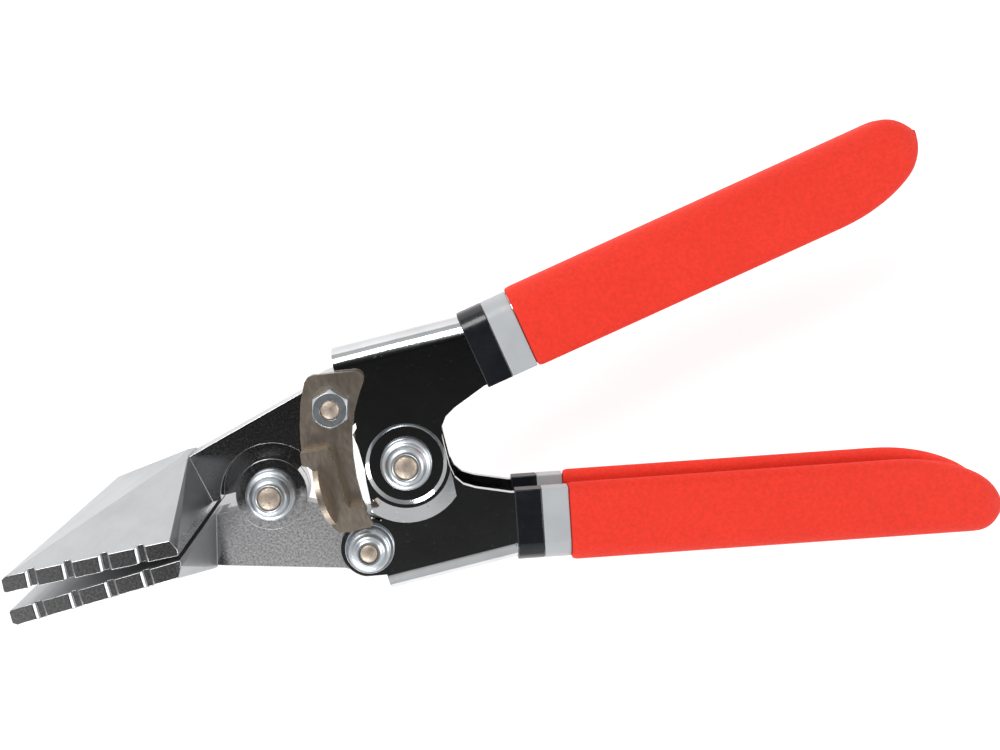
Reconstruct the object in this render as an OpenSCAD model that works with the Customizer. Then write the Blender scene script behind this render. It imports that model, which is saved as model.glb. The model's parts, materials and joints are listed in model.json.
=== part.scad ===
// Hand seamer: two wide flat jaws driven by two crossed-over channel handles,
// held part closed by a swinging latch plate. Millimetres.
// The tool lies on its side: +X from the jaws to the handles, +Z along the jaw width.

/* [Jaws] */
// Width of each jaw
jaw_w = 80; // [60:1:100]
// Distance from the jaw pivot to the front edge of the jaws
jaw_front = 66.2; // [55:0.1:75]
// Distance from the jaw pivot to the back edge of the jaws
jaw_back = 18.4; // [18:0.1:20]
// Thickness of the jaws at their side ends
jaw_edge = 4.4; // [3:0.1:6]
// Angle that each jaw stands open at rest
jaw_open = 2.1; // [1.5:0.1:3]
// Height of the top ridge where the blade meets its arm
ridge_h = 17.2; // [15:0.1:19]
// Pitch of the depth notches along the side ends
notch_pitch = 10; // [8:0.5:11]
// Distance from the front edge to the first notch
notch_first = 8; // [6:0.5:9]
// Width of a depth notch
notch_w = 1.8; // [1.4:0.1:3]
// Depth of a notch
notch_depth = 1.1; // [0.9:0.1:2]

/* [Linkage] */
// Distance between the jaw pivot and the handle pivot
pivot_span = 43.3; // [42:0.1:44]
// Distance of a link pivot behind the jaw pivot
link_x = 25.8; // [25:0.1:26]
// Distance of a link pivot from the centre-line
link_y = 23.1; // [23:0.1:24]
// Thickness of a jaw arm
arm_t = 8; // [7:0.1:9]
// Radius of the boss round the jaw pivot
boss_r = 11.1; // [10:0.1:12]
// Radius of the pocket that takes the other jaw's boss
pocket_r = 15.8; // [15:0.1:16.5]
// Radius of the lug at the link end of an arm
arm_lug_r = 9.2; // [8:0.1:10]

/* [Handles] */
// Thickness of the handle sheet
sheet_t = 1.8; // [1.5:0.1:2]
// Distance of the straight spine from the centre-line
spine_y = 39; // [38:0.1:40]
// Front end of the spine
spine_front = 28.9; // [28:0.1:31]
// Place of the bend where the grip part starts
bend_x = 69.4; // [68:0.1:72]
// Angle between the grip part and the centre-line
grip_angle = 10.3; // [9:0.1:12]
// Length of the steel behind the bend
grip_steel = 142; // [120:0.1:144]
// Depth of the channel in the grip part
channel_d = 21.8; // [19:0.1:23]
// Outer bend radius of the sheet
bend_r = 6; // [5:0.1:7]
// Radius of the hub round the handle pivot
hub_r = 18.6; // [16:0.1:19]
// Radius of the lug round a link pivot
lug_r = 9; // [8:0.1:9.5]

/* [Grips] */
// Thickness of the dipped grip
dip_t = 1.7; // [1:0.1:2.4]
// Thickness of the coloured bands
band_t = 0.9; // [0.5:0.1:1.4]
// Length of the black band
black_l = 8.3; // [6:0.1:10]
// Distance from the bend to the rounded end of the grip
grip_length = 152.2; // [150:0.1:158]
// Length of the grey band
grey_l = 8.3; // [6:0.1:10]

/* [Fasteners] */
// Diameter of the bolts at the jaw pivot and the handle pivot
pivot_d = 7.2; // [6.8:0.1:8]
// Diameter of the bolts at the link pivots
link_d = 6; // [5:0.1:6.4]
// Radial running fit of a bolt in its bore
fit_r = 0.05; // [0.02:0.01:0.1]
// Radial clearance at the upper link bore
free_r = 0.35; // [0.25:0.05:0.6]
// Gap between faces that slide on each other
slip = 0.3; // [0.2:0.05:0.4]

/* [Latch] */
// Thickness of the latch plate
latch_t = 1.8; // [1.5:0.1:2]
// Height of the step in the latch
latch_step = 2.8; // [2.6:0.1:3.4]
// Height of the thumb tab above the stepped plate
tab_h = 5; // [4:0.1:8]

/* [Spring] */
// Wire diameter of the return spring
wire_d = 1.8; // [1.4:0.1:2]
// Mean radius of the spring's coil
coil_r = 7.4; // [7.2:0.1:8]
// Number of turns
coil_turns = 2; // [1:1:2]

/* [Hidden] */

// Pivot centres on the mid-plane
U = [link_x, link_y];
H = [pivot_span, 0];
// Faces of the layers, measured from the mid-plane
arm_z = arm_t / 2;
inner_z = arm_z + slip;
outer_z = inner_z + sheet_t + slip;
near_top = outer_z + sheet_t;
inner_top = inner_z + sheet_t;
latch_z = near_top + slip;
toe_z = latch_z + latch_step;
// Channel section: it sits off the mid-plane, because the two handles nest
chan_lo = -inner_top;
chan_hi = near_top;
// Colours
chrome = [0.72, 0.73, 0.75];
zinc = [0.78, 0.8, 0.82];
bronze = [0.62, 0.56, 0.48];
red = [0.87, 0.12, 0.07];
grey = [0.62, 0.64, 0.65];
black = [0.05, 0.05, 0.06];

// ---- points and outlines ----

// Points on an arc round c, from angle a to angle b
function arc(c, r, a, b, n = 12) =
    [for (i = [0:n]) c + r * [cos(a + (b - a) * i / n), sin(a + (b - a) * i / n)]];
// A point of the grip part: s along it from the bend, d inward from the spine's outer face
function grip_at(s, d) = [bend_x, spine_y]
    + s * [cos(grip_angle), sin(grip_angle)] + d * [sin(grip_angle), -cos(grip_angle)];

link_reach = norm(U);
link_angle = atan2(link_y, link_x);
// The arm's inner edge touches its lug's circle
edge_angle = link_angle - asin(arm_lug_r / link_reach);
neck_gap = 2;
// The spine stops short of the walls inside the rounded grip end
end_cut = 4.5;

arm_outline = concat(
    [[0, neck_gap], [0, 0]],
    arc(U, arm_lug_r, edge_angle - 90, 108, 16),
    [[16.4, 28.2], [-22.6, 17.4], [-30, 6], [-30, neck_gap + 1.6], [-17.4, neck_gap]]);

// Recess round the handle pivot, and the slope of the hub's lower rim
recess_r = 12.6;
recess_d = 0.6;
rim_drop = 1.5;
// The top edge of the walls, a little below the spine's bend
wall_top = bend_r + 0.4;
// Rounded grip end: how far it starts before the steel's end, and how much depth it takes
round_l = 26;
round_d = 13;
// Points of the rounded end at depth channel_d + g, reaching l behind the start of the curve
function round_end(g, l, first = -90) =
    [for (p = arc([0, 0], 1, first, 0, 10))
        grip_at(grip_steel - round_l + l * p[0], channel_d + g - round_d * (p[1] + 1))];

// Side walls of a handle: link lug, hub, crotch and grip part
wall_outline = concat(
    [[spine_front + 0.4, spine_y - wall_top]],
    arc(U, lug_r, 112, 308, 18),
    [[31.2, 13], [31.3, 8], [30.8, 3], [30.1, -2], [29.9, -8]],
    arc(H, hub_r, 221, 312, 12),
    [[56, -8], [55.9, -2], [55.9, 5], [56.6, 8.4], [58.6, 11.2], [62, 13.2]],
    [grip_at(-1, channel_d)], round_end(0, round_l),
    [grip_at(grip_steel, end_cut + 3), grip_at(grip_steel - end_cut, wall_top),
        [bend_x - 0.6, spine_y - wall_top]]);

// Outline round the steel inside a coating, from s = a, with room to spare along the spine
function steel_outline(a) = concat(
    [grip_at(a, -3), grip_at(a, channel_d + 3)],
    round_end(0.03, round_l + 0.03, -86),
    [grip_at(grip_steel + 0.03, end_cut + 3), grip_at(grip_steel - end_cut + 0.03, 0),
        grip_at(grip_steel - end_cut + 0.03, -3)]);

// Side outline of a grip from s = a to its rounded end, open along its straight sides
function grip_outline(a, t) = concat(
    [grip_at(a, -3 - t), grip_at(a, channel_d + 3 + t)],
    [for (p = arc([0, 0], 1, -86, 0, 12))
        grip_at(grip_length - 34 + 34 * p[0], channel_d + t - 16.5 * (p[1] + 1))],
    [for (p = arc([0, 0], 1, 8, 86, 8))
        grip_at(grip_length - 9 + 9 * p[0], (1 - p[1]) * (channel_d + t - 16.5) - t * p[1])],
    [grip_at(grip_length - 10, -3 - t)]);

grip_start = black_l + grey_l;
tip_x = max([for (p = grip_outline(grip_start, dip_t)) p[0]]);
frame_x = (tip_x - jaw_front * cos(jaw_open)) / 2;

// U-shaped section, open towards -Y, from z = lo to hi, with legs down to depth d
function section(lo, hi, r, d) = concat(
    [[-d, lo]], [for (p = arc([-r, lo + r], r, 270, 360, 6)) p],
    [for (p = arc([-r, hi - r], r, 0, 90, 6)) p], [[-d, hi]]);

module place() { translate([-frame_x, 0, jaw_w / 2]) children(); }
// The lower half of the tool is the upper half turned over about the centre-line
module flipped() { rotate([180, 0, 0]) children(); }
module slab(z, h, outline) { translate([0, 0, z]) linear_extrude(h) polygon(outline); }
module post(c, r, z, h) { translate([c[0], c[1], z]) cylinder(r = r, h = h, $fn = 64); }
// Extrudes a [depth, z] section along X, with its depth axis along -Y
module run_x(l) { rotate([90, 0, 90]) linear_extrude(l) children(); }

// ---- jaws ----

// Low pyramid: thin at the front edge and the side ends, highest at the arm
module blade() {
    side_t = 1.2;
    hull() {
        for (turn = [0, 1]) mirror([0, 0, turn]) slab(jaw_w / 2 - side_t, side_t, [
            [-jaw_front, 0.5], [-jaw_front + 0.5, 0], [-jaw_back, 0], [-jaw_back, 1.6],
            [-jaw_back - 1.6, jaw_edge], [-jaw_front + 1.2, jaw_edge], [-jaw_front, jaw_edge - 0.8]]);
        slab(-arm_z - 0.4, arm_t + 0.8,
            [[-jaw_back, 0], [-jaw_back - 4.4, ridge_h], [-jaw_back - 7, ridge_h]]);
    }
}

module notches() {
    for (i = [0:3], turn = [0, 1])
        mirror([0, 0, turn])
            translate([-jaw_front + notch_first + i * notch_pitch, 0, jaw_w / 2])
                rotate([90, 0, 0]) linear_extrude(4 * jaw_edge, center = true)
                    polygon([[-notch_w / 2 - 0.6, 1], [-notch_w / 2 - 0.6, 0],
                        [-notch_w / 2, -0.6], [-notch_w / 2, -notch_depth],
                        [notch_w / 2, -notch_depth], [notch_w / 2, -0.6],
                        [notch_w / 2 + 0.6, 0], [notch_w / 2 + 0.6, 1]]);
}

// One forging: blade, arm and half-lapped boss
module jaw(link_bore) {
    difference() {
        union() {
            rotate([0, 0, -jaw_open]) difference() { blade(); notches(); }
            slab(-arm_z, arm_t, arm_outline);
            post([0, 0], boss_r, -arm_z - pad_h, arm_z + pad_h - slip / 2);
        }
        post([0, 0], pocket_r, -slip / 2, arm_t);
        post([0, 0], pivot_d / 2 + fit_r, -arm_t, 2 * arm_t);
        post(U, link_bore, -arm_t, 2 * arm_t);
    }
}

module upper_jaw() { color(chrome) place() jaw(link_d / 2 + free_r); }
module lower_jaw() { color(chrome) place() flipped() jaw(link_d / 2 + fit_r); }

// ---- handles ----

// One folded handle: two walls and the spine that joins them
module handle(pivot_bore, link_bore) {
    legs = bend_r + 1;
    difference() {
        union() {
            slab(outer_z, sheet_t, wall_outline);
            slab(-inner_top, sheet_t, wall_outline);
            translate([spine_front, spine_y, 0]) run_x(bend_x - spine_front + 0.4)
                spine_section(legs);
            along_grip(-0.4) run_x(grip_steel - end_cut - 0.6) spine_section(legs);
        }
        post(H, pivot_bore, -2 * arm_t, 4 * arm_t);
        post(U, link_bore, -2 * arm_t, 4 * arm_t);
        // shallow recess round the pivot on the near wall
        translate([H[0], H[1], near_top - recess_d])
            cylinder(r1 = recess_r - 1.2, r2 = recess_r + 0.6, h = 2 * recess_d - 0.2, $fn = 64);
        // the hub's lower rim slopes away outside the recess
        intersection() {
            translate([H[0], H[1], near_top]) rotate_extrude($fn = 64)
                polygon([[recess_r + 1, 1], [recess_r + 1, 0], [hub_r + 1, -rim_drop], [hub_r + 1, 1]]);
            slab(near_top - sheet_t, 2 * sheet_t,
                [[24, -10], [H[0], -5], [64, 2], [64, -24], [24, -24]]);
        }
    }
}

module spine_section(legs) {
    difference() {
        polygon(section(chan_lo, chan_hi, bend_r, legs));
        polygon(concat([[-legs - 1, chan_lo + sheet_t]],
            [for (p = section(chan_lo + sheet_t, chan_hi - sheet_t, bend_r - sheet_t, legs + 1))
                p - [sheet_t, 0]], [[-legs - 1, chan_hi - sheet_t]]));
    }
}

module upper_handle() { color(chrome) place() handle(pivot_d / 2 + fit_r, link_d / 2 + fit_r); }
module lower_handle() {
    color(chrome) place() flipped() handle(pivot_d / 2 + fit_r, link_d / 2 + fit_r);
}

// ---- grips and bands ----

// A coating of thickness t on the channel, from s = a to b
module coating(a, b, t) {
    gap = 0.02;
    lip = channel_d + t;
    difference() {
        along_grip(a) run_x(b - a) polygon([for (p = section(chan_lo - t, chan_hi + t, bend_r + t, lip + t))
            p + [t, 0]]);
        // the steel inside the coating
        intersection() {
            along_grip(a - 1) run_x(b - a + 2) difference() {
                polygon([for (p = section(chan_lo - gap, chan_hi + gap, bend_r + gap, channel_d + 2 * gap))
                    p + [gap, 0]]);
                polygon([for (p = section(chan_lo + sheet_t + gap, chan_hi - sheet_t - gap,
                    bend_r - sheet_t - gap, 50)) p - [sheet_t + gap, 0]]);
            }
            slab(-30, 60, steel_outline(a - 2));
        }
        // the valley between the lips, rounded like the skin inside the bend
        along_grip(a - 1) run_x(min(b, grip_steel - 2) - a + 2)
            polygon([for (p = section(chan_lo + sheet_t + t, chan_hi - sheet_t - t,
                bend_r - sheet_t - t, 50)) p - [sheet_t + t, 0]]);
    }
}

// Moves children to s = a along the grip part, on the spine's outer face
module along_grip(a) {
    translate([bend_x, spine_y, 0]) rotate([0, 0, grip_angle]) translate([a, 0, 0]) children();
}

module band(a, l) { coating(a, a + l, band_t); }

// The grip follows the handle's side outline, with a rounded end
module grip() {
    intersection() {
        coating(grip_start, grip_length + 2, dip_t);
        slab(-30, 60, grip_outline(grip_start - 1, dip_t));
    }
}

module upper_black_band() { color(black) place() band(0, black_l); }
module upper_grey_band() { color(grey) place() band(black_l, grey_l); }
module upper_grip() { color(red) place() grip(); }
module lower_black_band() { color(black) place() flipped() band(0, black_l); }
module lower_grey_band() { color(grey) place() flipped() band(black_l, grey_l); }
module lower_grip() { color(red) place() flipped() grip(); }

// ---- fasteners ----

// Bolt with a low domed head below z = base and a shank up to z = top
module bolt(c, d, base, top) {
    translate([c[0], c[1], 0]) rotate_extrude($fn = 64) polygon(concat(
        [[0, base - 3.6]],
        arc([d * 0.55, base - 3.2], d * 0.4, 270, 340, 6),
        [[d, base - 1.4], [d, base], [d / 2, base], [d / 2, top - 0.7], [d / 2 - 0.7, top], [0, top]]));
}

// Round flanged nut with a domed collar: d is the bolt, f the flange radius
module collar_nut(c, d, f, base, h) {
    translate([c[0], c[1], base]) rotate_extrude($fn = 64) polygon([
        [d / 2, 0], [f, 0], [f, 1.2], [f - 0.7, 2], [f - 1.6, 2.3], [f - 2, h - 1.2],
        [f - 2.8, h - 0.3], [f - 3.6, h], [d / 2 + 0.5, h], [d / 2, h - 0.5]]);
}

module washer(c, inner, outer, base, h) {
    difference() {
        post(c, outer, base, h);
        post(c, inner, base - 1, h + 2);
    }
}

pivot_nut_h = 4.4;
link_nut_h = 3.6;
washer_t = 1.2;
head_room = 0.3;
hex_h = 4.2;
// Height of the pad round the jaw pivot
pad_h = 0.4;
L = [link_x, -link_y];
jaw_nut_z = arm_z + pad_h;
handle_nut_z = near_top - recess_d + slip;
upper_nut_z = latch_z + latch_t + 0.1;
lower_nut_z = inner_top + washer_t;

module jaw_pivot_bolt() {
    color(bronze) place() bolt([0, 0], pivot_d, -arm_z - pad_h - slip, jaw_nut_z + pivot_nut_h + head_room);
}
module jaw_pivot_nut() { color(zinc) place() collar_nut([0, 0], pivot_d, 7.9, jaw_nut_z, pivot_nut_h); }
module handle_pivot_bolt() {
    color(bronze) place() bolt(H, pivot_d, -near_top, handle_nut_z + pivot_nut_h + head_room);
}
module handle_pivot_sleeve() {
    color(zinc) place() washer(H, pivot_d / 2, pivot_d / 2 + 1.6, -inner_z + slip, 2 * inner_z - 2 * slip);
}
module handle_pivot_nut() { color(zinc) place() collar_nut(H, pivot_d, 7.9, handle_nut_z, pivot_nut_h); }

// Torsion spring: a coil round the sleeve and a leg along each handle's spine
module return_spring() {
    pitch = wire_d + 0.35;
    sides = 8;
    steps = 20;
    leg = 26;
    leg_angle = 38;
    first = 90 + leg_angle;
    last = 270 - leg_angle + 360 * coil_turns;
    start = -pitch * (last - first) / 720;
    function coil_at(a) = [H[0] + coil_r * cos(a), H[1] + coil_r * sin(a),
        start + pitch * (a - first) / 360];
    path = concat(
        [coil_at(first) + leg * [sin(first), -cos(first), 0]],
        [for (i = [0:steps * coil_turns]) coil_at(first + (last - first) * i / (steps * coil_turns))],
        [coil_at(last) + leg * [-sin(last), cos(last), 0]]);
    n = len(path);
    function heading(i) = let (d = path[min(i + 1, n - 1)] - path[max(i - 1, 0)]) d / norm(d);
    rings = [for (i = [0:n - 1]) let (t = heading(i), side = cross(t, [0, 0, 1]),
        u = side / norm(side), v = cross(t, u))
        for (k = [0:sides - 1]) path[i] + wire_d / 2 * (cos(360 * k / sides) * u + sin(360 * k / sides) * v)];
    faces = concat([[for (k = [0:sides - 1]) k]],
        [for (i = [0:n - 2], k = [0:sides - 1]) let (j = (k + 1) % sides)
            [i * sides + k, (i + 1) * sides + k, (i + 1) * sides + j, i * sides + j]],
        [[for (k = [sides - 1:-1:0]) (n - 1) * sides + k]]);
    color(chrome) place() polyhedron(rings, faces);
}

module upper_link_bolt() {
    color(bronze) place() bolt(U, link_d, -inner_top, upper_nut_z + hex_h + head_room);
}
module upper_link_spacer() {
    color(zinc) place() washer(U, link_d / 2, 6, arm_z + slip, outer_z - arm_z - slip);
}
// Plain hexagon nut with chamfered corners
hex_flats = 10.4;
hex_turn = 16;
module upper_link_nut() {
    color(zinc) place() translate([U[0], U[1], upper_nut_z]) difference() {
        intersection() {
            rotate([0, 0, hex_turn]) cylinder(d = hex_flats / cos(30), h = hex_h, $fn = 6);
            cylinder(r1 = hex_flats / 2 + 0.3, r2 = hex_flats / 2 + 2.8, h = hex_h, $fn = 64);
            cylinder(r1 = hex_flats / 2 + 4, r2 = hex_flats / 2 - 0.1, h = hex_h, $fn = 64);
        }
        translate([0, 0, -1]) cylinder(d = link_d, h = hex_h + 2, $fn = 64);
    }
}
module lower_link_bolt() {
    color(bronze) place() bolt(L, link_d, -near_top, lower_nut_z + link_nut_h);
}
module lower_link_spacer() {
    color(zinc) place() washer(L, link_d / 2, 6, -outer_z, outer_z - arm_z - slip);
}
module lower_link_washer() { color(zinc) place() washer(L, link_d / 2, 7.6, inner_top, washer_t); }
module lower_link_nut() { color(zinc) place() collar_nut(L, link_d, 6.6, lower_nut_z, link_nut_h); }

// ---- latch ----

// The latch's whole outline, without the thumb tab
latch_outline = concat(
    [[22.4, 33.8], [20.8, 33.4], [19.6, 32.2]],
    [[17, 26.6], [15.1, 20], [14, 14.6], [13.4, 9.8], [13.4, 8.4], [15, 7.8], [15.9, 6.6]],
    [[16.4, -2], [17.6, -11.4], [18.9, -13.4], [22.1, -14.3], [28.8, -14.4], [29.5, -14.1], [29.6, -13.4]],
    [[28.7, -10.6], [27.8, -7], [27.7, -0.2], [28.4, 6.8], [29.7, 13.3], [31.5, 18.9], [34.9, 24.9]],
    [[36.5, 27.2], [37.1, 28.7], [37.1, 30.1], [36.6, 31.2], [35.5, 31.8]]);
// Edge of the stepped zone that holds the toe and the thumb tab
step_edge = [[10, 11.8], [21.2, 10.9], [22, 7], [22, -5.6], [23.2, -8], [32, -9.8]];
step_run = 1.6;

module step_zone(g) {
    polygon(concat([for (p = step_edge) p + [g, g]], [[34, -20], [10, -20]]));
}

module latch_plate() {
    difference() {
        union() {
            // flat part
            translate([0, 0, latch_z]) linear_extrude(latch_t) difference() {
                polygon(latch_outline);
                step_zone(0);
            }
            // stepped part
            translate([0, 0, toe_z]) linear_extrude(latch_t) intersection() {
                polygon(latch_outline);
                step_zone(0);
            }
            // riser between them
            translate([0, 0, latch_z]) linear_extrude(latch_step + latch_t) intersection() {
                polygon(latch_outline);
                difference() { step_zone(step_run / 2); step_zone(-step_run / 2); }
            }
            thumb_tab();
        }
        post(U, link_d / 2 + fit_r, 0, 40);
    }
}

// Tab that stands up from the stepped part's free side, with a curved top edge
module thumb_tab() {
    edge_r = 9.8;
    tab_mid = -2.4;
    intersection() {
        slab(toe_z, latch_t + tab_h, [[15.9, 6.4], [16.4, -2], [17.6, -11.2], [19.2, -11.6],
            [18.1, -2], [17.5, 6.4]]);
        translate([10, tab_mid, toe_z + latch_t + tab_h - edge_r]) rotate([0, 90, 0])
            cylinder(r = edge_r, h = 12, $fn = 64);
    }
}

module latch() { color(bronze) place() latch_plate(); }

upper_jaw();
lower_jaw();
jaw_pivot_bolt();
jaw_pivot_nut();
upper_handle();
upper_black_band();
upper_grey_band();
upper_grip();
lower_handle();
lower_black_band();
lower_grey_band();
lower_grip();
handle_pivot_bolt();
handle_pivot_sleeve();
handle_pivot_nut();
return_spring();
upper_link_bolt();
upper_link_spacer();
upper_link_nut();
lower_link_bolt();
lower_link_spacer();
lower_link_washer();
lower_link_nut();
latch();
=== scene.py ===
"""Hand seamer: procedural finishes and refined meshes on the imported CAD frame."""
import bpy
import bmesh
import json
import math
from mathutils import Matrix, Vector

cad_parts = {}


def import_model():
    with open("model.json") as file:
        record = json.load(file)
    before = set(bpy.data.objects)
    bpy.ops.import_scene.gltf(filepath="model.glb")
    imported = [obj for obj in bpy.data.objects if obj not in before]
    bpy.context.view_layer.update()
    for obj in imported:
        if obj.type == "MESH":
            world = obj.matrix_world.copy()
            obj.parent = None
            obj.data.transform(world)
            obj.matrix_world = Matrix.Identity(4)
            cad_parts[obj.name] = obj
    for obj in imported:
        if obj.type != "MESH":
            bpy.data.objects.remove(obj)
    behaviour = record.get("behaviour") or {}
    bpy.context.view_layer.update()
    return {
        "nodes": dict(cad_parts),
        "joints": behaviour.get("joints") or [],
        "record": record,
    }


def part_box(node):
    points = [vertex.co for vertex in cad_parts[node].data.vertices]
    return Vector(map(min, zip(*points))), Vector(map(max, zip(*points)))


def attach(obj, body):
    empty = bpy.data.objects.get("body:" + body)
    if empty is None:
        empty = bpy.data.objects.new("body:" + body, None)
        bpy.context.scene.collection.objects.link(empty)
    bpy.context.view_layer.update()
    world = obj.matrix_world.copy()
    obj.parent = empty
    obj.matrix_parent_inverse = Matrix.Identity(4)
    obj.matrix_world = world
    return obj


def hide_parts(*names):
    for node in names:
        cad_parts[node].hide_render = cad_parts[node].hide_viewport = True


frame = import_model()

MM = 0.001
JOINTS = {joint["name"]: joint for joint in frame["joints"]}
JAW_PIVOT = Vector(JOINTS["jaw_pivot"]["pos_m"])
HANDLE_PIVOT = Vector(JOINTS["handle_pivot"]["pos_m"])
SLOT_OF = {part["node"]: part["material_slot"] for part in frame["record"]["subparts"]}
BODIES = frame["record"]["behaviour"]["bodies"]
BODY_OF = {node: body for body, nodes in BODIES.items() for node in nodes}

# Places on the tool that a finish or an edge depends on
NECK_FRONT, NECK_BACK = 20.0 * MM, 17.0 * MM
RIM_START = 13.6 * MM


# ---- node material helpers ----

def new_material(name):
    """A material with only a Principled shader; returns it with its tree and shader."""
    mat = bpy.data.materials.new(name)
    mat.use_nodes = True
    tree = mat.node_tree
    return mat, tree, tree.nodes["Principled BSDF"]


def add(tree, kind, **inputs):
    """A node of one kind; keyword arguments set its sockets by name, with _ for a space."""
    node = tree.nodes.new(kind)
    for key, value in inputs.items():
        socket = node.inputs[key.replace("_", " ")]
        if isinstance(value, bpy.types.NodeSocket):
            tree.links.new(value, socket)
        else:
            socket.default_value = value
    return node


def coords(tree, scale=(1, 1, 1), turn=0.0):
    """Object coordinates in metres, scaled and turned about Z."""
    where = tree.nodes.new("ShaderNodeTexCoord")
    mapping = add(tree, "ShaderNodeMapping", Vector=where.outputs["Object"])
    mapping.inputs["Scale"].default_value = scale
    mapping.inputs["Rotation"].default_value = (0, 0, turn)
    return mapping.outputs["Vector"]


def noise(tree, scale, detail=4.0, rough=0.55, where=None):
    """Noise over the object, or over other coordinates if they are given."""
    node = add(tree, "ShaderNodeTexNoise", Scale=scale, Detail=detail, Roughness=rough)
    tree.links.new(where or coords(tree), node.inputs["Vector"])
    return node.outputs["Fac"]


def ramp(tree, value, stops):
    """Colour ramp from (position, colour or grey) stops."""
    node = tree.nodes.new("ShaderNodeValToRGB")
    elements = node.color_ramp.elements
    while len(elements) < len(stops):
        elements.new(0.5)
    for element, (place, colour) in zip(elements, stops):
        element.position = place
        element.color = (colour,) * 3 + (1,) if isinstance(colour, (int, float)) else (*colour, 1)
    tree.links.new(value, node.inputs["Fac"])
    return node.outputs["Color"]


def bump(tree, height, strength, distance, under=None):
    """A bump on top of another normal, if one is given."""
    node = add(tree, "ShaderNodeBump", Height=height, Strength=strength, Distance=distance)
    if under:
        tree.links.new(under, node.inputs["Normal"])
    return node.outputs["Normal"]


def mix(tree, factor, a, b):
    """Linear mix of two colours or sockets."""
    node = tree.nodes.new("ShaderNodeMix")
    node.data_type = "RGBA"
    for socket, value in ((node.inputs[0], factor), (node.inputs[6], a), (node.inputs[7], b)):
        if isinstance(value, bpy.types.NodeSocket):
            tree.links.new(value, socket)
        elif isinstance(value, (int, float)):
            socket.default_value = value if socket.type == "VALUE" else (value, value, value, 1)
        else:
            socket.default_value = (*value, 1)
    return node.outputs[2]


def math_node(tree, operation, *values):
    """A Math node fed by sockets."""
    node = tree.nodes.new("ShaderNodeMath")
    node.operation = operation
    for socket, value in zip(node.inputs, values):
        tree.links.new(value, socket)
    return node.outputs[0]


def link(tree, socket, shader, name):
    tree.links.new(socket, shader.inputs[name])


# ---- materials ----

def forged_steel():
    """Jaw forging: satin ground blade facets; plated side faces with a fine cast texture."""
    mat, tree, shader = new_material("forged_jaw")
    where = tree.nodes.new("ShaderNodeTexCoord")
    facing = add(tree, "ShaderNodeSeparateXYZ", Vector=where.outputs["Normal"])
    side = ramp(tree, math_node(tree, "ABSOLUTE", facing.outputs["Z"]), [(0.74, 0.0), (0.84, 1.0)])
    split = add(tree, "ShaderNodeSeparateXYZ", Vector=where.outputs["Object"])
    behind = add(tree, "ShaderNodeMapRange", Value=split.outputs["X"])
    behind.inputs["From Min"].default_value = JAW_PIVOT.x - NECK_FRONT
    behind.inputs["From Max"].default_value = JAW_PIVOT.x - NECK_BACK
    below = add(tree, "ShaderNodeMapRange", Value=split.outputs["Y"])
    below.inputs["From Min"].default_value = JAW_PIVOT.y + 1.0 * MM
    below.inputs["From Max"].default_value = JAW_PIVOT.y - 3.0 * MM
    duller = math_node(tree, "MULTIPLY", behind.outputs["Result"], below.outputs["Result"])
    plated_part = math_node(tree, "MAXIMUM", side, behind.outputs["Result"])
    lumps = noise(tree, 1500, 3.0, 0.5)
    lines = noise(tree, 900, 4.0, 0.7, coords(tree, (1, 1, 0.02)))
    blotch = noise(tree, 90, 5.0, 0.6)
    ground = ramp(tree, blotch, [(0.3, (0.40, 0.41, 0.42)), (0.7, (0.46, 0.47, 0.48))])
    plated = ramp(tree, lumps, [(0.35, (0.38, 0.38, 0.385)), (0.65, (0.50, 0.50, 0.51))])
    link(tree, mix(tree, plated_part, ground, plated), shader, "Base Color")
    ground_rough = ramp(tree, lines, [(0.3, 0.34), (0.75, 0.46)])
    smooth_rough = ramp(tree, lumps, [(0.3, 0.12), (0.7, 0.22)])
    dull_rough = ramp(tree, lumps, [(0.3, 0.40), (0.7, 0.56)])
    plated_rough = mix(tree, duller, smooth_rough, dull_rough)
    link(tree, mix(tree, plated_part, ground_rough, plated_rough), shader, "Roughness")
    relief = mix(tree, duller, 0.22, 1.0)
    height = math_node(tree, "MULTIPLY", math_node(tree, "MULTIPLY", lumps, side), relief)
    fine = bump(tree, lines, 0.07, 0.12 * MM)
    link(tree, bump(tree, height, 0.35, 0.16 * MM, fine), shader, "Normal")
    shader.inputs["Metallic"].default_value = 1.0
    return mat


def chromed_sheet():
    """Chrome over pressed steel: mirror-like, with faint waves and a few dull specks."""
    mat, tree, shader = new_material("chromed_sheet")
    waves = noise(tree, 90, 2.0, 0.5)
    pits = noise(tree, 800, 2.0, 0.55)
    tint = ramp(tree, waves, [(0.3, (0.56, 0.57, 0.58)), (0.7, (0.64, 0.65, 0.66))])
    specks = ramp(tree, pits, [(0.24, 0.5), (0.32, 1.0)])
    link(tree, mix(tree, specks, (0.36, 0.36, 0.36), tint), shader, "Base Color")
    link(tree, ramp(tree, pits, [(0.26, 0.22), (0.36, 0.08), (0.8, 0.12)]), shader, "Roughness")
    broad = bump(tree, waves, 0.10, 0.8 * MM)
    link(tree, bump(tree, pits, 0.10, 0.15 * MM, broad), shader, "Normal")
    shader.inputs["Metallic"].default_value = 1.0
    return mat


def zinc_plate():
    """Zinc plate on the nuts, washer, sleeve and spacers."""
    mat, tree, shader = new_material("zinc")
    cloud = noise(tree, 260, 4.0, 0.6)
    scratch = noise(tree, 1400, 3.0, 0.6)
    plate = ramp(tree, cloud, [(0.3, (0.46, 0.50, 0.53)), (0.7, (0.60, 0.63, 0.66))])
    link(tree, plate, shader, "Base Color")
    link(tree, ramp(tree, scratch, [(0.3, 0.32), (0.7, 0.40)]), shader, "Roughness")
    link(tree, bump(tree, scratch, 0.03, 0.04 * MM), shader, "Normal")
    shader.inputs["Metallic"].default_value = 1.0
    return mat


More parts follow.
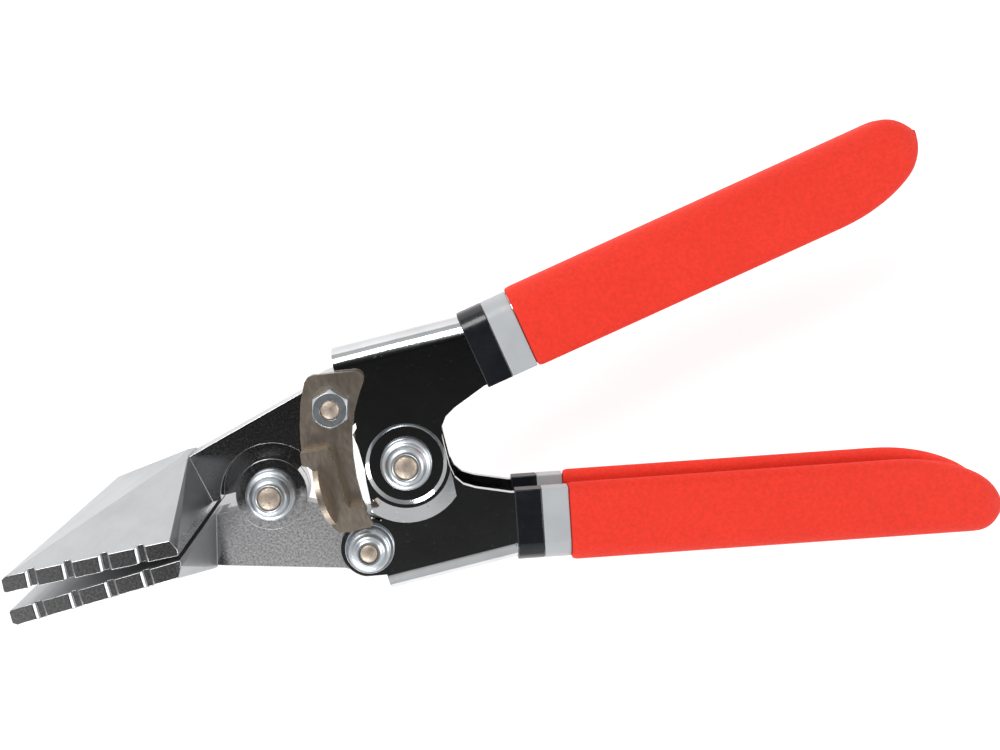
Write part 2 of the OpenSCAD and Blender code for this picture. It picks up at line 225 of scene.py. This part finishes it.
def stud_steel():
    """Bolt ends: dull tan plating with dark specks."""
    mat, tree, shader = new_material("stud")
    cloud = noise(tree, 420, 5.0, 0.65)
    speck = noise(tree, 1600, 3.0, 0.6)
    tan = ramp(tree, cloud, [(0.3, (0.34, 0.27, 0.215)), (0.7, (0.58, 0.50, 0.42))])
    dark = ramp(tree, speck, [(0.3, 0.25), (0.42, 1.0)])
    link(tree, mix(tree, dark, (0.12, 0.09, 0.06), tan), shader, "Base Color")
    link(tree, ramp(tree, speck, [(0.3, 0.62), (0.7, 0.38)]), shader, "Roughness")
    link(tree, bump(tree, cloud, 0.4, 0.2 * MM), shader, "Normal")
    shader.inputs["Metallic"].default_value = 0.75
    return mat


def latch_metal():
    """Brown nickel plate with streaks and fine scuffs."""
    mat, tree, shader = new_material("latch_plate")
    streaks = noise(tree, 160, 5.0, 0.6, coords(tree, (1, 0.35, 1), 0.2))
    scuffs = noise(tree, 1200, 4.0, 0.65, coords(tree, (1, 0.3, 1), 0.5))
    link(tree, ramp(tree, streaks, [(0.25, (0.33, 0.28, 0.23)), (0.5, (0.37, 0.315, 0.26)),
                                    (0.8, (0.41, 0.35, 0.29))]), shader, "Base Color")
    link(tree, ramp(tree, scuffs, [(0.3, 0.38), (0.7, 0.48)]), shader, "Roughness")
    link(tree, bump(tree, scuffs, 0.15, 0.08 * MM), shader, "Normal")
    shader.inputs["Metallic"].default_value = 1.0
    return mat


def spring_wire():
    """Dark oiled spring steel."""
    mat, tree, shader = new_material("spring_steel")
    cloud = noise(tree, 700, 4.0, 0.6)
    wire = ramp(tree, cloud, [(0.3, (0.16, 0.16, 0.17)), (0.7, (0.32, 0.32, 0.34))])
    link(tree, wire, shader, "Base Color")
    link(tree, ramp(tree, cloud, [(0.3, 0.3), (0.7, 0.5)]), shader, "Roughness")
    shader.inputs["Metallic"].default_value = 1.0
    return mat


def dipped(name, low, high, rough, grain, depth, speck=0.0):
    """A dipped plastic coat.

    low and high are its colours, rough its roughness range, grain and depth its texture's
    fineness and relief, and speck how much darker colour lies between the grains.
    """
    mat, tree, shader = new_material(name)
    cloud = noise(tree, 60, 4.0, 0.6)
    fine = noise(tree, grain, 3.0, 0.6)
    coarse = noise(tree, grain * 0.35, 3.0, 0.5)
    tone = ramp(tree, cloud, [(0.3, low), (0.7, high)])
    grains = ramp(tree, coarse, [(0.35, 0.0), (0.65, speck)])
    link(tree, mix(tree, grains, tone, [0.62 * v for v in low]), shader, "Base Color")
    link(tree, ramp(tree, fine, [(0.3, rough[0]), (0.7, rough[1])]), shader, "Roughness")
    soft = bump(tree, coarse, 0.35, depth)
    link(tree, bump(tree, fine, 0.5, depth * 0.6, soft), shader, "Normal")
    return mat


MATERIALS = {
    "forged_jaw": forged_steel(),
    "chromed_sheet": chromed_sheet(),
    "zinc": zinc_plate(),
    "stud": stud_steel(),
    "latch_plate": latch_metal(),
    "spring_steel": spring_wire(),
    "red_dip": dipped("red_dip", (0.76, 0.030, 0.013), (0.79, 0.034, 0.015),
                      (0.66, 0.82), 2600, 0.5 * MM, 0.3),
    "grey_dip": dipped("grey_dip", (0.36, 0.375, 0.39), (0.43, 0.445, 0.46),
                       (0.34, 0.46), 500, 0.1 * MM),
    "black_dip": dipped("black_dip", (0.006, 0.007, 0.009), (0.012, 0.013, 0.016),
                        (0.16, 0.28), 400, 0.1 * MM),
}
red_shader = MATERIALS["red_dip"].node_tree.nodes["Principled BSDF"]
red_shader.inputs["Specular IOR Level"].default_value = 0.3


def dress(obj, slot):
    """Gives an object its slot's material."""
    obj.data.materials.clear()
    obj.data.materials.append(MATERIALS[slot])


# ---- refined copies of CAD nodes, with rounded edges ----

def crisp_ring(mesh, centre, radius):
    """Marks as sharp the edges on a circle about an axis along Z."""
    def on_ring(index):
        return abs((mesh.vertices[index].co.xy - centre.xy).length - radius) < 0.05 * MM
    for edge in mesh.edges:
        if on_ring(edge.vertices[0]) and on_ring(edge.vertices[1]):
            edge.use_edge_sharp = True


def refined(node, width, segments=2, angle=28):
    """A copy of a CAD node with its flat facets joined; it replaces the node.

    Its edges are rounded to the width given, or kept crisp above the angle where the width is 0.
    """
    mesh = frame["nodes"][node].data.copy()
    piece = bpy.data.objects.new(node + "_finished", mesh)
    bpy.context.scene.collection.objects.link(piece)
    bm = bmesh.new()
    bm.from_mesh(mesh)
    bmesh.ops.remove_doubles(bm, verts=bm.verts, dist=0.004 * MM)
    bmesh.ops.dissolve_limit(bm, angle_limit=math.radians(0.06), verts=bm.verts, edges=bm.edges)
    bm.to_mesh(mesh)
    bm.free()
    for polygon in mesh.polygons:
        polygon.use_smooth = True
    if width:
        bevel = piece.modifiers.new("rounded_edges", "BEVEL")
        bevel.width = width
        bevel.segments = segments
        bevel.limit_method = "ANGLE"
        bevel.angle_limit = math.radians(angle)
        flat = piece.modifiers.new("flat_faces", "WEIGHTED_NORMAL")
        flat.mode = "FACE_AREA"
        flat.weight = 100
        flat.keep_sharp = True
    mesh.set_sharp_from_angle(angle=math.radians(20 if width else angle))
    if node in ("upper_handle", "lower_handle"):
        crisp_ring(mesh, HANDLE_PIVOT, RIM_START)
    dress(piece, SLOT_OF[node])
    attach(piece, BODY_OF[node])
    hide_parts(node)
    return piece


for part in ("upper_jaw", "lower_jaw"):
    refined(part, 0.45 * MM)
for part in ("upper_handle", "lower_handle"):
    refined(part, 0.3 * MM)
refined("latch", 0.35 * MM)
for part in ("upper_black_band", "upper_grey_band", "lower_black_band", "lower_grey_band"):
    refined(part, 0.35 * MM)
for part in ("upper_link_nut", "lower_link_washer"):
    refined(part, 0.22 * MM)
for part in ("jaw_pivot_nut", "handle_pivot_nut", "lower_link_nut",
             "jaw_pivot_bolt", "handle_pivot_bolt", "upper_link_bolt", "lower_link_bolt"):
    refined(part, 0, angle=50)

for name, cad in frame["nodes"].items():
    dress(cad, SLOT_OF[name])

# ---- dipped grips ----

GRIP_ANGLE = math.radians(10.3)
BEND = Vector((69.4, 39.0)) * MM
GRIP_START = 16.6 * MM
STEEL_END = 142.0 * MM
CHANNEL_DEPTH = 21.8 * MM
DIP = 1.7 * MM
TIP = 152.2 * MM
LOW_RUN, LOW_RISE = 34.0 * MM, 16.5 * MM
TOP_RUN = 9.0 * MM
LIP = 5.2 * MM
VALLEY = 3.8 * MM
BED_DIP = 0.6 * MM
# The valley closes from this far before the tip, over this length
CLOSING_START, CLOSING_RUN = 24 * MM, 14 * MM


def grip_span(s):
    """Least and greatest depth of the grip's side outline at a place s along it."""
    top, low = -DIP, CHANNEL_DEPTH + DIP
    nose = low - LOW_RISE
    curve = math.sqrt(max(0.0, 1 - max(0.0, (s - TIP + LOW_RUN) / LOW_RUN) ** 2))
    low -= LOW_RISE * (1 - curve)
    curve = math.sqrt(max(0.0, 1 - max(0.0, (s - TIP + TOP_RUN) / TOP_RUN) ** 2))
    top += (nose - top) * (1 - curve)
    return top, low


def section_points(top, low, half, lip, valley, corner):
    """Closed section of a grip as (depth, side) points.

    It goes round the outer shell, the two lips and the valley between them.
    """
    points = []
    steps = 8
    inner = half - lip
    wall = low - lip / 2
    for sign in (1, -1):
        outer = [(wall - (wall - top - corner) * k / 10, half) for k in range(10)]
        bend = [(top + corner - corner * math.sin(a), half - corner + corner * math.cos(a))
                for a in (math.pi / 2 * k / steps for k in range(steps + 1))]
        side = outer + bend + [(top, (half - corner) * (1 - k / 4)) for k in range(1, 4)]
        points.append([(d, sign * z) for d, z in side])
    shell = points[0] + [(top, 0.0)] + points[1][::-1]
    arc = [math.pi * k / steps for k in range(1, steps)]
    left_lip = [(wall + lip / 2 * math.sin(a), -half + lip / 2 - lip / 2 * math.cos(a))
                for a in arc]
    down = [(wall - (wall - valley) * k / 8, -inner) for k in range(0, 8)]
    bed = [(valley - BED_DIP * math.sin(math.pi * k / 8), -inner + 2 * inner * k / 8)
           for k in range(0, 9)]
    up = [(valley + (wall - valley) * k / 8, inner) for k in range(1, 9)]
    right_lip = [(wall + lip / 2 * math.sin(a), half - lip / 2 + lip / 2 * math.cos(a))
                 for a in reversed(arc)]
    return shell + left_lip + down + bed + up + right_lip


def grip(name, node, upper):
    """One grip, lofted along the handle.

    The lower grip is the upper one turned over about the centre-line.
    """
    lo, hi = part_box(node)
    mid = (lo.z + hi.z) / 2 - JAW_PIVOT.z
    half_full = (hi.z - lo.z) / 2
    if not upper:
        mid = -mid
    along = Vector((math.cos(GRIP_ANGLE), math.sin(GRIP_ANGLE)))
    inward = Vector((math.sin(GRIP_ANGLE), -math.cos(GRIP_ANGLE)))
    stations = [GRIP_START + 0.05 * MM, GRIP_START + 0.35 * MM, GRIP_START + 1.2 * MM]
    count = 46
    straight = TIP - CLOSING_START - GRIP_START
    stations += [GRIP_START + 3 * MM + straight * k / count for k in range(count)]
    tail = TIP - 21 * MM
    stations += [tail + (TIP - tail) * math.sin(math.pi / 2 * k / 16) for k in range(1, 17)]
    bm = bmesh.new()
    rings = []
    for index, s in enumerate(stations):
        top, low = grip_span(s)
        swell = {0: -0.9 * MM, 1: -0.35 * MM}.get(index, 0.0)
        top, low = top - swell, low + swell
        near_tip = max(0.0, (s - STEEL_END) / (TIP - STEEL_END))
        half = (half_full + swell) * (1 - 0.42 * near_tip ** 2.6)
        closing = min(1.0, max(0.0, (s - (TIP - CLOSING_START)) / CLOSING_RUN))
        closing = closing * closing * (3 - 2 * closing)
        valley = VALLEY + (low - 2.0 * MM - VALLEY) * closing
        lip_here = LIP * (1 + 0.3 * closing)
        corner = min(7.0 * MM, (low - top) * 0.45, half * 0.75)
        if index == len(stations) - 1:
            top, low = top + 0.2 * MM, low - 0.2 * MM
        lip_here = min(lip_here, half * 0.9)
        valley = min(valley, low - lip_here / 2 - 0.2 * MM)
        ring = []
        for depth, side in section_points(top, low, half, lip_here, valley, corner):
            flat = BEND + along * s + inward * depth
            point = Vector((flat.x, flat.y, side + mid))
            if not upper:
                point = Vector((point.x, -point.y, -point.z))
            ring.append(bm.verts.new(point + JAW_PIVOT))
        rings.append(ring)
    size = len(rings[0])
    for a, b in zip(rings, rings[1:]):
        for k in range(size):
            j = (k + 1) % size
            bm.faces.new((a[k], a[j], b[j], b[k]))
    bm.faces.new(rings[0][::-1])
    bm.faces.new(rings[-1])
    bmesh.ops.recalc_face_normals(bm, faces=bm.faces)
    mesh = bpy.data.meshes.new(name)
    bm.to_mesh(mesh)
    bm.free()
    for polygon in mesh.polygons:
        polygon.use_smooth = True
    piece = bpy.data.objects.new(name, mesh)
    bpy.context.scene.collection.objects.link(piece)
    piece.modifiers.new("smooth", "SUBSURF").levels = 1
    piece.modifiers["smooth"].render_levels = 1
    dress(piece, SLOT_OF[node])
    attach(piece, BODY_OF[node])
    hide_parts(node)
    return piece


grip("upper_grip_dip", "upper_grip", True)
grip("lower_grip_dip", "lower_grip", False)


# ---- floor, light and camera ----

def floor():
    """A pale plain floor just below the tool, with a weak glow that keeps it pale."""
    size = 3.0
    mesh = bpy.data.meshes.new("floor")
    corners = [(-size, -size, 0), (size, -size, 0), (size, size, 0), (-size, size, 0)]
    mesh.from_pydata(corners, [], [(0, 1, 2, 3)])
    plane = bpy.data.objects.new("floor", mesh)
    plane.location.z = -0.1 * MM
    bpy.context.scene.collection.objects.link(plane)
    mat, tree, shader = new_material("pale_floor")
    shade = noise(tree, 2.0, 2.0, 0.5)
    link(tree, ramp(tree, shade, [(0.0, 0.68), (1.0, 0.72)]), shader, "Base Color")
    shader.inputs["Roughness"].default_value = 0.9
    shader.inputs["Specular IOR Level"].default_value = 0.1
    shader.inputs["Emission Color"].default_value = (1, 1, 1, 1)
    shader.inputs["Emission Strength"].default_value = 0.5
    mesh.materials.append(mat)


def area_light(name, place, target, size, power, shape):
    """A soft rectangular light; shape is its height over its width."""
    data = bpy.data.lights.new(name, "AREA")
    data.shape = "RECTANGLE"
    data.size = size
    data.size_y = size * shape
    data.energy = power
    lamp = bpy.data.objects.new(name, data)
    lamp.location = place
    lamp.rotation_euler = (Vector(target) - Vector(place)).to_track_quat("-Z", "Y").to_euler()
    bpy.context.scene.collection.objects.link(lamp)


def world():
    """A studio, bright round the horizon and dark overhead, so that flat metal reads dark."""
    sky = bpy.data.worlds.new("studio")
    bpy.context.scene.world = sky
    sky.use_nodes = True
    tree = sky.node_tree
    place = tree.nodes.new("ShaderNodeTexCoord").outputs["Generated"]
    split = add(tree, "ShaderNodeSeparateXYZ", Vector=place)
    shade = ramp(tree, split.outputs["Z"], [(0.0, 0.9), (0.70, 0.95), (0.80, 0.42),
                                            (0.90, 0.05), (1.0, 0.012)])
    tree.links.new(shade, tree.nodes["Background"].inputs["Color"])
    tree.nodes["Background"].inputs["Strength"].default_value = 0.75


def camera():
    """Looks down on the tool, nearly square to its side, with the image rolled."""
    data = bpy.data.cameras.new("camera")
    data.lens = 30.14
    data.sensor_width = 36.0
    data.shift_x = 0.060
    data.shift_y = -0.1654
    data.clip_start = 0.01
    cam = bpy.data.objects.new("camera", data)
    tilt, lean, roll = 0.01574, 0.00169, 0.24783
    turn = (Matrix.Rotation(roll, 3, "Z") @ Matrix.Rotation(lean, 3, "Y")
            @ Matrix.Rotation(tilt, 3, "X"))
    place = Vector((JAW_PIVOT.x, JAW_PIVOT.y, 0)) + Vector((71.98, 76.98, 303.44)) * MM
    cam.matrix_world = Matrix.Translation(place) @ turn.transposed().to_4x4()
    bpy.context.scene.collection.objects.link(cam)
    bpy.context.scene.camera = cam


floor()
world()
area_light("key", (-0.35, 0.75, 0.75), (0.0, 0.0, 0.04), 0.7, 8.0, 0.6)
area_light("side", (0.85, -0.25, 0.6), (0.05, 0.0, 0.04), 0.6, 4.5, 0.6)
area_light("front", (-0.5, -0.7, 0.45), (0.0, 0.0, 0.04), 0.6, 4.5, 0.5)
camera()
bpy.context.scene.view_settings.view_transform = "Standard"
